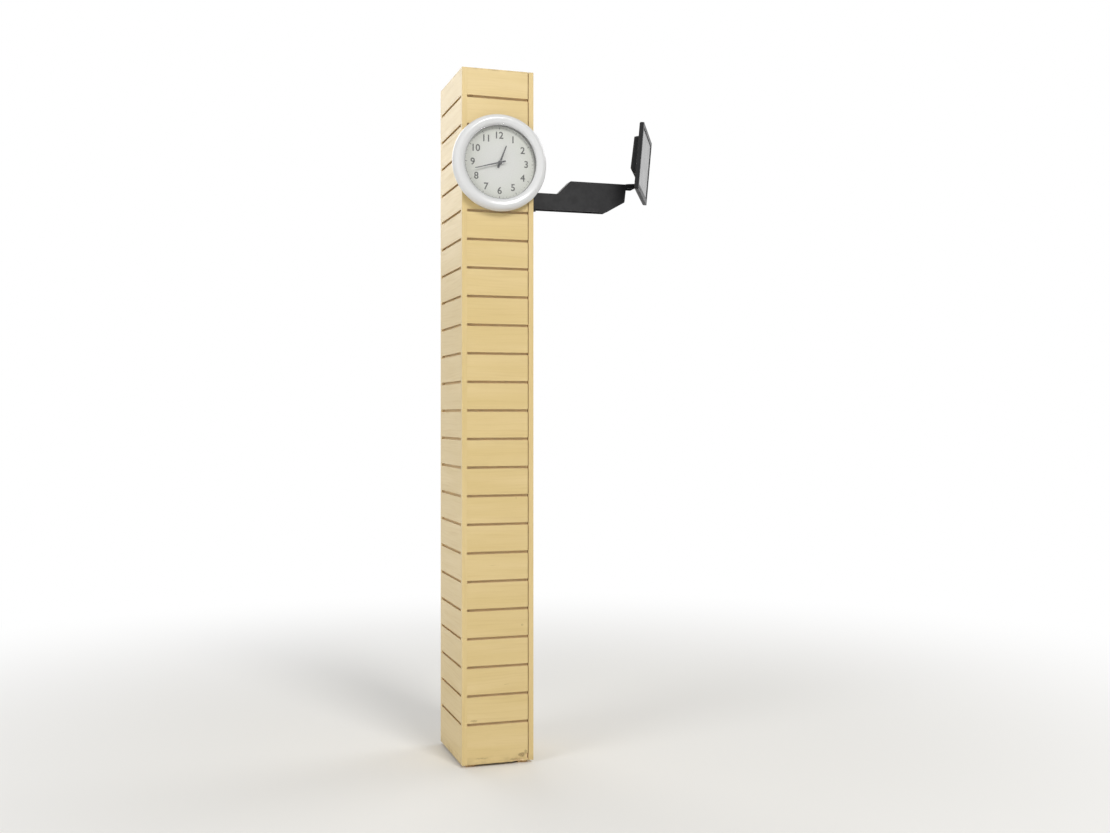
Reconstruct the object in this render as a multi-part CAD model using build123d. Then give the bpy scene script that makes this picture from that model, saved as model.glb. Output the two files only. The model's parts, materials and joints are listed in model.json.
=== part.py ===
from build123d import *
import os

# A structural column inside a shop, boxed in with slotted display boards, with a round
# wall clock on its front and a small monitor on a bracket at its right-hand side.
# Millimetres. +Z is up, the front faces -Y and the right-hand side faces +X. The origin
# is the middle of the column's foot, on the floor.

# Overall size, floor to ceiling and over the boards
HEIGHT = 2450.0
WIDTH = 260.0
DEPTH = 350.0

# Slotted boards with T-shaped grooves, between square corner posts of the same thickness
BOARD_THICKNESS = 18.0
BOARD_FOOT = 10.0
JOINT_GAP = 3.0
CORNER_EDGE_RADIUS = 1.5
GROOVE_PITCH = 100.0
FIRST_GROOVE = 140.0
TOP_SLAT_MIN = 60.0
GROOVE_MOUTH = 9.0
GROOVE_LIP = 5.0
GROOVE_INNER_HEIGHT = 22.0
GROOVE_DEPTH = 11.0

# Broken edges at the front board's lower right corner, with their outline as shares of
# their width and reach
CHIP_DEPTH = 6.0
CHIP_FLOOR_SHARE = 0.55
CHIP_OUTLINE = [(-0.42, 0.45), (-0.12, 1.0), (0.2, 0.7), (0.38, 0.85)]
FOOT_CHIP_WIDTH = 44.0
FOOT_CHIP_REACH = 9.0
FOOT_CHIP_INSET = 34.0
END_CHIP_WIDTH = 24.0
END_CHIP_REACH = 8.0
END_CHIP_LIFT = 16.0

# Steel stanchion, an H section, with its base and cap plates
FLANGE_WIDTH = 152.9
SECTION_DEPTH = 157.6
FLANGE_THICKNESS = 9.4
WEB_THICKNESS = 6.5
ROOT_RADIUS = 7.6
PLATE_SIZE = 200.0
PLATE_THICKNESS = 15.0
BOLT_HOLE_RADIUS = 9.0
BOLT_SPACING_X = 90.0
BOLT_SPACING_Y = 80.0

# Timber framing between the stanchion and the boards
BATTEN_DEPTH = 50.0
NOGGING_HEIGHT = 50.0
NOGGING_ROWS = 5
NOGGING_END_GAP = 10.0

# Wall clock, measured from its flat back towards the front
CLOCK_X = 0.0
CLOCK_DROP = 332.0
CLOCK_RADIUS = 170.0
CLOCK_DEPTH = 45.0
CLOCK_WALL = 2.5
CLOCK_CREST_RADIUS = 150.0
CLOCK_WAIST = 20.0
DIAL_RADIUS = 131.0
DIAL_THICKNESS = 1.5
DIAL_WALL = 2.5
GLASS_THICKNESS = 2.0
GLASS_SEAT = 3.0
GLASS_SETBACK = 6.0
GLASS_CLEARANCE = 0.2
MOVEMENT_SIZE = 56.0
MOVEMENT_DEPTH = 15.0
MOVEMENT_CORNER = 5.0
HAND_GAP = 5.0
HAND_THICKNESS = 1.0
HAND_HUB_RADIUS = 7.0
HAND_RUNNING_CLEARANCE = 0.3
ARBOR_RADIUS = 2.0
HOUR_HAND_LENGTH = 64.0
HOUR_HAND_WIDTH = 8.0
MINUTE_HAND_LENGTH = 94.0
MINUTE_HAND_WIDTH = 6.0
HAND_TAIL = 20.0
HAND_TIP_SHARE = 0.5
CLOCK_MINUTES = 42.5
CLOCK_HOURS = 12.0
NAIL_RADIUS = 2.0
NAIL_HEAD_RADIUS = 4.5
NAIL_HEAD_THICKNESS = 2.0
NAIL_HEIGHT = 85.0
NAIL_IN_BOARD = 12.0
NAIL_CLEARANCE = 0.1
KEYHOLE_RADIUS = 6.0
KEYHOLE_DROP = 12.0

# Monitor bracket: wall plate with two lugs, a swinging arm, a turntable
ARM_DROP = 426.0
ARM_Y = 0.0
WALL_PLATE_WIDTH = 100.0
WALL_PLATE_HEIGHT = 170.0
WALL_PLATE_THICKNESS = 4.0
WALL_PLATE_CORNER = 8.0
PIVOT_REACH = 40.0
LUG_WIDTH = 40.0
LUG_THICKNESS = 6.0
LUG_GAP = 0.5
SWING_PIN_RADIUS = 6.0
SWING_PIN_HEAD_RADIUS = 9.0
SWING_PIN_HEAD = 5.0
SWING_PIN_CLEARANCE = 0.3
SEATED_CLEARANCE = 0.05
SCREW_RADIUS = 2.5
SCREW_HEAD_RADIUS = 5.0
SCREW_HEAD = 3.0
SCREW_LENGTH = 16.0
SCREW_SPACING_Y = 70.0
SCREW_SPACING_Z = 140.0
ARM_ROOT_HEIGHT = 60.0
ARM_WIDTH = 40.0
ARM_SHEET = 3.0
ARM_BEND_RADIUS = 6.0
ARM_BOSS_RADIUS = 16.0
ARM_START = -14.0
ARM_RISE_START = 100.0
ARM_RISE_END = 150.0
ARM_RISE = 50.0
ARM_REACH = 392.0
ARM_TIP_OVERHANG = 15.0
ARM_NOSE_LENGTH = 22.0
ARM_NOSE_THICKNESS = 15.0
ARM_BREAST_RUN = 6.0
ARM_BREAST_LIFT = 42.0
ARM_BELLY_RUN = 74.0
TURNTABLE_RADIUS = 20.0
TURNTABLE_THICKNESS = 3.0
TURN_PIN_RADIUS = 5.0
TURN_PIN_CLEARANCE = 0.3
TURN_PIN_TAIL = 7.0
TURN_NUT_RADIUS = 9.0
TURN_NUT_THICKNESS = 4.0
TURN_GAP = 0.3
HEAD_YAW = -26.5

# Tilt hinge and monitor, in a frame whose +X is the way the screen faces. The hinge is behind
# the panel, above its lower edge, and in front of the turntable's pivot.
HINGE_REACH = 30.0
KNUCKLE_RADIUS = 6.0
KNUCKLE_HALF = 30.0
KNUCKLE_GAP = 0.5
LUG_KNUCKLE = 25.0
TILT_PIN_RADIUS = 3.0
TILT_PIN_CLEARANCE = 0.3
TILT_PIN_OVERHANG = 3.0
MONITOR_TILT = 5.0
MONITOR_WIDTH = 366.0
MONITOR_HEIGHT = 244.0
MONITOR_DROP = 50.0
MONITOR_BACK = 8.0
REAR_COVER_THICKNESS = 11.0
BEZEL_THICKNESS = 5.0
BEZEL_BORDER = 17.0
BEZEL_CHIN = 21.0
SCREEN_THICKNESS = 3.0
SCREEN_CLEARANCE = 0.2
MONITOR_CORNER = 6.0
MONITOR_EDGE = 3.0
HOUSING_WIDTH = 250.0
HOUSING_LOW = 67.0
HOUSING_HIGH = 208.0
HOUSING_DEPTH_LOW = 26.0
HOUSING_DEPTH_HIGH = 22.0
HOUSING_EDGE = 6.0
HOUSING_HEEL_RISE = 18.0
HOUSING_HEEL_DEPTH = 14.0
VENT_COUNT = 17
VENT_PITCH = 9.0
VENT_WIDTH = 3.0
VENT_LENGTH = 11.0
VENT_DEPTH = 9.0
VENT_INSET = 4.0
FIXING_SPACING = 75.0
FIXING_RADIUS = 2.0
FIXING_DEPTH = 8.0
SOCKET_BAY_WIDTH = 78.0
SOCKET_BAY_DEPTH = 10.0
SOCKET_BAY_HEIGHT = 14.0
SOCKET_BAY_INSET = 3.0
SOCKET_BAY_Y = -60.0
SOCKET_WIDTHS = (31.0, 15.0)
SOCKET_THICKNESS = 6.0
SOCKET_HEIGHT = 9.0
SOCKET_GAP = 12.0
BUTTON_COUNT = 5
BUTTON_PITCH = 16.0
BUTTON_WIDTH = 9.0
BUTTON_HEIGHT = 3.5
BUTTON_RISE = 0.8
BUTTON_INSET = 20.0

# Values that follow from the sizes above
FRONT_Y = DEPTH / 2
SIDE_X = WIDTH / 2
INNER_X = SIDE_X - BOARD_THICKNESS
INNER_Y = FRONT_Y - BOARD_THICKNESS
BATTEN_X = FLANGE_WIDTH / 2
BATTEN_Y = INNER_Y - BATTEN_DEPTH
BOARD_HEIGHT = HEIGHT - BOARD_FOOT
GROOVES = int((BOARD_HEIGHT - TOP_SLAT_MIN - FIRST_GROOVE) // GROOVE_PITCH) + 1
CLOCK_Z = HEIGHT - CLOCK_DROP
ARM_Z = HEIGHT - ARM_DROP
GLASS_Z = CLOCK_DEPTH - GLASS_SETBACK - GLASS_THICKNESS
DIAL_Z = CLOCK_WALL + MOVEMENT_DEPTH
HOUR_HAND_Z = DIAL_Z + DIAL_THICKNESS + HAND_GAP
MINUTE_HAND_Z = HOUR_HAND_Z + HAND_THICKNESS + HAND_GAP
PIVOT_X = SIDE_X + PIVOT_REACH
HEAD_X = PIVOT_X + ARM_REACH
ARM_TIP = ARM_REACH + ARM_TIP_OVERHANG
ARM_NOSE_START = ARM_REACH - ARM_NOSE_LENGTH
ARM_BREAST_END = ARM_NOSE_START - ARM_BREAST_RUN
ARM_BELLY_END = ARM_BREAST_END - ARM_BELLY_RUN
ARM_LOW = ARM_Z - ARM_ROOT_HEIGHT / 2
ARM_TOP = ARM_Z + ARM_ROOT_HEIGHT / 2 + ARM_RISE
HINGE_Z = ARM_TOP + TURN_GAP + KNUCKLE_RADIUS
CLOCK_PLACE = Pos(CLOCK_X, -FRONT_Y, CLOCK_Z) * Rot(90, 0, 0)
HEAD_PLACE = Pos(HEAD_X, ARM_Y, HINGE_Z) * Rot(0, 0, HEAD_YAW)
HINGE_PLACE = HEAD_PLACE * Pos(HINGE_REACH, 0, 0)
MONITOR_PLACE = HINGE_PLACE * Rot(0, MONITOR_TILT, 0)
MONITOR_MIDDLE = MONITOR_BACK + REAR_COVER_THICKNESS


def block(x, y, z):
    """A box from (low, high) pairs."""
    size = (x[1] - x[0], y[1] - y[0], z[1] - z[0])
    centre = ((x[0] + x[1]) / 2, (y[0] + y[1]) / 2, (z[0] + z[1]) / 2)
    return Pos(*centre) * Box(*size)


def rod(radius, low, high):
    """A round bar along Z."""
    return Pos(0, 0, (low + high) / 2) * Cylinder(radius, high - low)


def outline(points):
    """A flat face from a closed run of points."""
    return make_face(Polyline(*points, close=True))


# Column

def stanchion():
    half_x, half_y = FLANGE_WIDTH / 2, SECTION_DEPTH / 2
    web, inner = WEB_THICKNESS / 2, half_y - FLANGE_THICKNESS
    corner = [(half_x, half_y), (half_x, inner), (web, inner)]
    points = corner + [(x, -y) for x, y in reversed(corner)]
    points += [(-x, y) for x, y in reversed(points)]
    section = outline(points)
    roots = section.vertices().filter_by(lambda v: abs(abs(v.X) - web) < 0.01)
    section = fillet(roots, ROOT_RADIUS)
    length = HEIGHT - 2 * PLATE_THICKNESS
    return Pos(0, 0, PLATE_THICKNESS) * extrude(section, length)


def end_plate(low):
    """A square plate with four bolt holes between the stanchion's flanges."""
    half, high = PLATE_SIZE / 2, low + PLATE_THICKNESS
    holes = GridLocations(BOLT_SPACING_X, BOLT_SPACING_Y, 2, 2)
    plate = block((-half, half), (-half, half), (low, high))
    return plate - [place * rod(BOLT_HOLE_RADIUS, low - 1, high + 1) for place in holes]


def batten(side_x, side_y):
    x = sorted((side_x * BATTEN_X, side_x * INNER_X))
    y = sorted((side_y * BATTEN_Y, side_y * INNER_Y))
    return block(x, y, (0, HEIGHT))


def nogging_levels():
    low = PLATE_THICKNESS + NOGGING_END_GAP
    high = HEIGHT - low - NOGGING_HEIGHT
    step = (high - low) / (NOGGING_ROWS - 1)
    return [low + i * step for i in range(NOGGING_ROWS)]


def noggings(x, y):
    return Compound([block(x, y, (z, z + NOGGING_HEIGHT)) for z in nogging_levels()])


def groove_cutter(length):
    """A T-shaped bar along X; the board's face is the plane Y = 0, with the board at +Y."""
    mouth, inner = GROOVE_MOUTH / 2, GROOVE_INNER_HEIGHT / 2
    half = [(-1, mouth), (GROOVE_LIP, mouth), (GROOVE_LIP, inner), (GROOVE_DEPTH, inner)]
    points = half + [(y, -z) for y, z in reversed(half)]
    face = Plane.YZ * outline(points)
    return Pos(-length / 2, 0, 0) * extrude(face, length)


def slotted_board(width):
    """An upright board along X with its grooved face at Y = 0."""
    board = block((-width / 2, width / 2), (0, BOARD_THICKNESS), (BOARD_FOOT, HEIGHT))
    cutter = groove_cutter(width + 2)
    heights = [BOARD_FOOT + FIRST_GROOVE + i * GROOVE_PITCH for i in range(GROOVES)]
    return board - [Pos(0, 0, z) * cutter for z in heights]


def chip(width, reach):
    """A break in a board's edge. The edge is along X, +Y runs in over the face, -Z is depth."""
    def section(share, level):
        points = [(x * width * share, y * reach * share) for x, y in CHIP_OUTLINE]
        half = width * share / 2
        return Pos(0, 0, level) * outline([(-half, -reach), *points, (half, -reach)])
    return loft([section(1, 0), section(CHIP_FLOOR_SHARE, -CHIP_DEPTH)])


def front_chips():
    end = INNER_X - JOINT_GAP
    foot = Pos(end - FOOT_CHIP_INSET, -FRONT_Y, BOARD_FOOT) * Rot(90, 0, 0)
    side = Pos(end, -FRONT_Y, BOARD_FOOT + END_CHIP_LIFT) * Rot(90, 0, 0) * Rot(0, 0, 90)
    return [foot * chip(FOOT_CHIP_WIDTH, FOOT_CHIP_REACH), side * chip(END_CHIP_WIDTH, END_CHIP_REACH)]


def corner_trim(side_x, side_y):
    """A square post in one corner, flush with the faces of the boards beside it."""
    x = sorted((side_x * INNER_X, side_x * SIDE_X))
    y = sorted((side_y * INNER_Y, side_y * FRONT_Y))
    post = block(x, y, (BOARD_FOOT, HEIGHT))
    upright = post.edges().filter_by(Axis.Z)
    outer = upright.sort_by(lambda e: side_x * e.center().X + side_y * e.center().Y)[-1]
    return fillet(outer, CORNER_EDGE_RADIUS)


# Clock, built with its back on Z = 0 and its front towards +Z

def clock_case():
    """A hollow moulded case: a ring widest at its waist and tucked in to a flat back."""
    crest, face, waist = CLOCK_CREST_RADIUS, CLOCK_DEPTH, CLOCK_WAIST
    outer, glass = CLOCK_RADIUS, DIAL_RADIUS
    seat = DIAL_RADIUS - GLASS_SEAT
    dial_top = DIAL_Z + DIAL_THICKNESS
    rim = GLASS_Z + GLASS_THICKNESS
    wall = CLOCK_WALL
    reach = outer - crest
    line = Polyline((0, 0), (crest, 0))
    line += EllipticalCenterArc((crest, waist), reach, waist, 270, arc_size=90)
    line += EllipticalCenterArc((crest, waist), reach, face - waist, 0, arc_size=90)
    line += Polyline((crest, face), (glass, rim), (glass, GLASS_Z), (seat, GLASS_Z),
                     (seat, dial_top), (glass + DIAL_WALL, dial_top),
                     (glass + DIAL_WALL, rim - wall), (crest, face - wall))
    line += EllipticalCenterArc((crest, waist), reach - wall, face - waist - wall, 0, arc_size=90)
    line += EllipticalCenterArc((crest, waist), reach - wall, waist - wall, 270, arc_size=90)
    line += Polyline((crest, wall), (0, wall), (0, 0))
    ring = revolve(Plane.XZ * make_face(line), Axis.Z)
    return ring - keyhole()


def keyhole():
    """A round hole that lets the nail's head in, with a slot above it for the shank."""
    slot, high = NAIL_RADIUS + NAIL_CLEARANCE, CLOCK_WALL + 1
    hole = Pos(0, NAIL_HEIGHT - KEYHOLE_DROP, 0) * rod(KEYHOLE_RADIUS, -1, high)
    hole += Pos(0, NAIL_HEIGHT, 0) * rod(slot, -1, high)
    return hole + block((-slot, slot), (NAIL_HEIGHT - KEYHOLE_DROP, NAIL_HEIGHT), (-1, high))


def clock_movement():
    half = MOVEMENT_SIZE / 2
    body = block((-half, half), (-half, half), (CLOCK_WALL, DIAL_Z))
    body = fillet(body.edges().filter_by(Axis.Z), MOVEMENT_CORNER)
    return body + rod(ARBOR_RADIUS, DIAL_Z, MINUTE_HAND_Z + HAND_THICKNESS)


def clock_dial():
    disc = rod(DIAL_RADIUS, DIAL_Z, DIAL_Z + DIAL_THICKNESS)
    return disc - rod(ARBOR_RADIUS + 1, 0, CLOCK_DEPTH)


def clock_glass():
    return rod(DIAL_RADIUS - GLASS_CLEARANCE, GLASS_Z, GLASS_Z + GLASS_THICKNESS)


def hand(length, width, level, clock_angle):
    """A tapered hand with a round hub on the arbor."""
    tip = width * HAND_TIP_SHARE / 2
    blade = outline([(-width / 2, -HAND_TAIL), (width / 2, -HAND_TAIL), (tip, length), (-tip, length)])
    shape = extrude(Pos(0, 0, level) * blade, HAND_THICKNESS)
    shape += rod(HAND_HUB_RADIUS, level, level + HAND_THICKNESS)
    shape -= rod(ARBOR_RADIUS + HAND_RUNNING_CLEARANCE, 0, CLOCK_DEPTH)
    return Rot(0, 0, -clock_angle) * shape


def clock_nail():
    """A nail driven into the board, with its head inside the case."""
    head = CLOCK_WALL + NAIL_CLEARANCE
    shank = rod(NAIL_RADIUS, -NAIL_IN_BOARD, head)
    return Pos(0, NAIL_HEIGHT, 0) * (shank + rod(NAIL_HEAD_RADIUS, head, head + NAIL_HEAD_THICKNESS))


def nail_hole():
    hole = rod(NAIL_RADIUS + NAIL_CLEARANCE, -NAIL_IN_BOARD, 0)
    return CLOCK_PLACE * Pos(0, NAIL_HEIGHT, 0) * hole


# Bracket

def lug(low):
    """A flat ear that reaches from the wall plate out round the swing pin."""
    reach = block((WALL_PLATE_THICKNESS, PIVOT_REACH), (-LUG_WIDTH / 2, LUG_WIDTH / 2), (0, LUG_THICKNESS))
    end = Pos(PIVOT_REACH, 0, 0) * rod(LUG_WIDTH / 2, 0, LUG_THICKNESS)
    hole = Pos(PIVOT_REACH, 0, 0) * rod(SWING_PIN_RADIUS + SEATED_CLEARANCE, -1, LUG_THICKNESS + 1)
    return Pos(0, 0, low) * (reach + end - hole)


def lug_levels():
    """Undersides of the lower and upper lug, about the arm's middle."""
    upper = ARM_ROOT_HEIGHT / 2 + LUG_GAP
    return (-upper - LUG_THICKNESS, upper)


def screw_places():
    for y in (-SCREW_SPACING_Y / 2, SCREW_SPACING_Y / 2):
        for z in (-SCREW_SPACING_Z / 2, SCREW_SPACING_Z / 2):
            yield Pos(SIDE_X, ARM_Y + y, ARM_Z + z) * Rot(0, 90, 0)


def wall_plate():
    half_y, half_z = WALL_PLATE_WIDTH / 2, WALL_PLATE_HEIGHT / 2
    plate = block((0, WALL_PLATE_THICKNESS), (-half_y, half_y), (-half_z, half_z))
    plate = fillet(plate.edges().filter_by(Axis.X), WALL_PLATE_CORNER)
    for low in lug_levels():
        plate += lug(low)
    plate = Pos(SIDE_X, ARM_Y, ARM_Z) * plate
    hole = rod(SCREW_RADIUS + SEATED_CLEARANCE, -1, WALL_PLATE_THICKNESS + 1)
    return plate - [place * hole for place in screw_places()]


def wall_screws():
    shank = rod(SCREW_RADIUS, -SCREW_LENGTH, WALL_PLATE_THICKNESS)
    screw = shank + rod(SCREW_HEAD_RADIUS, WALL_PLATE_THICKNESS, WALL_PLATE_THICKNESS + SCREW_HEAD)
    return Compound([place * screw for place in screw_places()])


def screw_holes():
    hole = rod(SCREW_RADIUS + SEATED_CLEARANCE, -SCREW_LENGTH, 0)
    return [place * hole for place in screw_places()]


def swing_pin():
    low, high = lug_levels()
    top = high + LUG_THICKNESS
    shape = rod(SWING_PIN_RADIUS, low - SWING_PIN_HEAD, top)
    shape += rod(SWING_PIN_HEAD_RADIUS, top, top + SWING_PIN_HEAD)
    shape += rod(SWING_PIN_HEAD_RADIUS, low - SWING_PIN_HEAD, low)
    return Pos(PIVOT_X, ARM_Y, ARM_Z) * shape


def arm_profile(inset):
    """Side view of the arm from its pivot, drawn in by a wall on all but its open underside."""
    top, root_top = ARM_TOP - inset, ARM_TOP - ARM_RISE - inset
    low, nose_low = ARM_LOW - inset, ARM_TOP - ARM_NOSE_THICKNESS - inset
    side = outline([
        (ARM_START + inset, low),
        (ARM_BELLY_END, low),
        (ARM_BREAST_END - inset, low + ARM_BREAST_LIFT),
        (ARM_NOSE_START - inset, nose_low),
        (ARM_TIP - inset, nose_low),
        (ARM_TIP - inset, top),
        (ARM_RISE_END, top),
        (ARM_RISE_START, root_top),
        (ARM_START + inset, root_top),
    ])
    bends = side.vertices().filter_by(lambda v: v.Y > ARM_LOW + 1)
    return fillet(bends, ARM_BEND_RADIUS - inset)


def bracket_arm():
    """A pressed arm: a channel open below, with a tube round the swing pin."""
    place = Pos(PIVOT_X, ARM_Y, 0) * Plane.XZ
    solid = extrude(place * arm_profile(0), ARM_WIDTH / 2, both=True)
    hollow = extrude(place * arm_profile(ARM_SHEET), ARM_WIDTH / 2 - ARM_SHEET, both=True)
    boss = Pos(PIVOT_X, ARM_Y, 0) * rod(ARM_BOSS_RADIUS, ARM_LOW, ARM_LOW + ARM_ROOT_HEIGHT)
    bore = Pos(PIVOT_X, ARM_Y, 0) * rod(SWING_PIN_RADIUS + SWING_PIN_CLEARANCE, ARM_LOW - 1, ARM_TOP)
    turn_hole = Pos(HEAD_X, ARM_Y, 0) * rod(TURN_PIN_RADIUS + TURN_PIN_CLEARANCE, ARM_LOW, ARM_TOP + 1)
    return solid - hollow + boss - bore - turn_hole


# Turntable and monitor, built about the tilt hinge

def along_hinge(radius, low, high):
    """A round bar along the hinge line."""
    return Rot(-90, 0, 0) * rod(radius, low, high)


def turntable():
    """A disc on the arm's nose, with a pivot pin below it and a neck out to the hinge's knuckle."""
    low, high = -KNUCKLE_RADIUS, TURNTABLE_THICKNESS - KNUCKLE_RADIUS
    hinge = Pos(HINGE_REACH, 0, 0)
    shape = rod(TURNTABLE_RADIUS, low, high)
    shape += block((0, HINGE_REACH), (-TURNTABLE_RADIUS, TURNTABLE_RADIUS), (low, high))
    shape += rod(TURN_PIN_RADIUS, low - TURN_GAP - ARM_SHEET - TURN_PIN_TAIL, low)
    shape += hinge * along_hinge(KNUCKLE_RADIUS, -KNUCKLE_HALF, KNUCKLE_HALF)
    shape -= hinge * along_hinge(TILT_PIN_RADIUS + SEATED_CLEARANCE, -KNUCKLE_HALF - 1, KNUCKLE_HALF + 1)
    return shape


def turn_nut():
    """A hexagon nut that holds the turntable's pin under the arm's top sheet."""
    top = -KNUCKLE_RADIUS - 2 * TURN_GAP - ARM_SHEET
    face = RegularPolygon(TURN_NUT_RADIUS, 6)
    nut = Pos(0, 0, top - TURN_NUT_THICKNESS) * extrude(face, TURN_NUT_THICKNESS)
    return nut - rod(TURN_PIN_RADIUS + SEATED_CLEARANCE, top - TURN_NUT_THICKNESS - 1, top + 1)


def tilt_pin():
    half = KNUCKLE_HALF + KNUCKLE_GAP + LUG_KNUCKLE + TILT_PIN_OVERHANG
    return along_hinge(TILT_PIN_RADIUS, -half, half)


def monitor_slab(x, border=0.0, chin=0.0):
    """A slice of the monitor between two depths, drawn in at its edges."""
    half = MONITOR_WIDTH / 2 - border
    low, high = border + chin - MONITOR_DROP, MONITOR_HEIGHT - border - MONITOR_DROP
    return block(x, (-half, half), (low, high))


def rear_cover():
    """The monitor's back cover, with two hinge knuckles on lugs low on its back."""
    cover = monitor_slab((MONITOR_BACK, MONITOR_MIDDLE))
    cover = fillet(cover.edges().filter_by(Axis.X), MONITOR_CORNER)
    cover = chamfer(cover.faces().sort_by(Axis.X)[0].edges(), MONITOR_EDGE)
    bore = along_hinge(TILT_PIN_RADIUS + TILT_PIN_CLEARANCE, -MONITOR_WIDTH / 2, MONITOR_WIDTH / 2)
    for side in (-1, 1):
        near = KNUCKLE_HALF + KNUCKLE_GAP
        ends = sorted((side * near, side * (near + LUG_KNUCKLE)))
        cover += along_hinge(KNUCKLE_RADIUS, *ends)
        cover += block((0, MONITOR_BACK + 1), ends, (-KNUCKLE_RADIUS, KNUCKLE_RADIUS))
    return cover - bore


def bezel():
    """The front frame round the screen."""
    face = MONITOR_MIDDLE + BEZEL_THICKNESS
    frame = monitor_slab((MONITOR_MIDDLE, face))
    frame = fillet(frame.edges().filter_by(Axis.X), MONITOR_CORNER)
    frame -= monitor_slab((MONITOR_MIDDLE - 1, face + 1), BEZEL_BORDER, BEZEL_CHIN - BEZEL_BORDER)
    middle = BEZEL_CHIN / 2 - MONITOR_DROP
    levels = (middle - BUTTON_HEIGHT / 2, middle + BUTTON_HEIGHT / 2)
    for i in range(BUTTON_COUNT):
        y = BUTTON_INSET + i * BUTTON_PITCH - MONITOR_WIDTH / 2
        frame += block((face, face + BUTTON_RISE), (y, y + BUTTON_WIDTH), levels)
    return frame


def screen():
    depths = (MONITOR_MIDDLE, MONITOR_MIDDLE + SCREEN_THICKNESS)
    return monitor_slab(depths, BEZEL_BORDER + SCREEN_CLEARANCE, BEZEL_CHIN - BEZEL_BORDER)


def housing_vents(face, high):
    """A row of slots in the housing's top."""
    slot = block((face - VENT_INSET - VENT_LENGTH, face - VENT_INSET),
                 (-VENT_WIDTH / 2, VENT_WIDTH / 2), (high - VENT_DEPTH, high + 1))
    return [place * slot for place in GridLocations(1, VENT_PITCH, 1, VENT_COUNT)]


def housing_fixings(face, middle):
    """Four blind holes in the housing's back, on the corners of a square."""
    back, end = face - HOUSING_DEPTH_LOW - 1, face - HOUSING_DEPTH_HIGH + FIXING_DEPTH
    hole = Rot(0, 90, 0) * rod(FIXING_RADIUS, back, end)
    half = FIXING_SPACING / 2
    return [Pos(0, y, middle + z) * hole for y in (-half, half) for z in (-half, half)]


def socket_bay(face, low):
    """A recess in the housing's underside with cable sockets left standing in it."""
    x = (face - SOCKET_BAY_INSET - SOCKET_BAY_DEPTH, face - SOCKET_BAY_INSET)
    half, high = SOCKET_BAY_WIDTH / 2, low + SOCKET_BAY_HEIGHT
    bay = block(x, (SOCKET_BAY_Y - half, SOCKET_BAY_Y + half), (low - 1, high))
    middle, y = (x[0] + x[1]) / 2, SOCKET_BAY_Y - half + SOCKET_GAP
    for width in SOCKET_WIDTHS:
        depth = (middle - SOCKET_THICKNESS / 2, middle + SOCKET_THICKNESS / 2)
        bay -= block(depth, (y, y + width), (high - SOCKET_HEIGHT, high))
        y += width + SOCKET_GAP
    return bay


def housing():
    """The deep box of the electronics on the monitor's back, thinner towards its top."""
    face = MONITOR_BACK
    low, high = HOUSING_LOW - MONITOR_DROP, HOUSING_HIGH - MONITOR_DROP
    side = outline([(face, low), (face, high), (face - HOUSING_DEPTH_HIGH, high - HOUSING_EDGE),
                    (face - HOUSING_DEPTH_LOW, low + HOUSING_HEEL_RISE),
                    (face - HOUSING_HEEL_DEPTH, low)])
    shape = extrude(Plane.XZ * side, HOUSING_WIDTH / 2, both=True)
    ends = shape.faces().filter_by(Axis.Y)
    outer = [e for f in ends for e in f.edges() if e.center().X < face - 1]
    shape = chamfer(outer, HOUSING_EDGE)
    shape -= housing_vents(face, high)
    return shape - housing_fixings(face, (low + high) / 2) - socket_bay(face, low)


def column_parts():
    front = Pos(-JOINT_GAP / 2, -FRONT_Y, 0) * slotted_board(2 * INNER_X - JOINT_GAP)
    right = Pos(SIDE_X, 0, 0) * Rot(0, 0, 90) * slotted_board(2 * INNER_Y)
    parts = {
        "stanchion": stanchion(),
        "base_plate": end_plate(0),
        "cap_plate": end_plate(HEIGHT - PLATE_THICKNESS),
        "slatwall_front": front - nail_hole() - front_chips(),
        "slatwall_back": Rot(0, 0, 180) * front,
        "slatwall_right": right - screw_holes(),
        "slatwall_left": Rot(0, 0, 180) * right,
        "noggings_front": noggings((-BATTEN_X, BATTEN_X), (-INNER_Y, -BATTEN_Y)),
        "noggings_back": noggings((-BATTEN_X, BATTEN_X), (BATTEN_Y, INNER_Y)),
        "noggings_left": noggings((-INNER_X, -BATTEN_X), (-BATTEN_Y, BATTEN_Y)),
        "noggings_right": noggings((BATTEN_X, INNER_X), (-BATTEN_Y, BATTEN_Y)),
    }
    for front_back, side_y in (("front", -1), ("back", 1)):
        for left_right, side_x in (("left", -1), ("right", 1)):
            corner = f"{front_back}_{left_right}"
            parts[f"batten_{corner}"] = batten(side_x, side_y)
            parts[f"corner_trim_{corner}"] = corner_trim(side_x, side_y)
    return parts


def clock_parts():
    minute_angle = CLOCK_MINUTES * 6
    hour_angle = (CLOCK_HOURS + CLOCK_MINUTES / 60) * 30
    parts = {
        "clock_case": clock_case(),
        "clock_movement": clock_movement(),
        "clock_dial": clock_dial(),
        "clock_glass": clock_glass(),
        "clock_nail": clock_nail(),
        "clock_hour_hand": hand(HOUR_HAND_LENGTH, HOUR_HAND_WIDTH, HOUR_HAND_Z, hour_angle),
        "clock_minute_hand": hand(MINUTE_HAND_LENGTH, MINUTE_HAND_WIDTH, MINUTE_HAND_Z, minute_angle),
    }
    return {name: CLOCK_PLACE * shape for name, shape in parts.items()}


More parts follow.
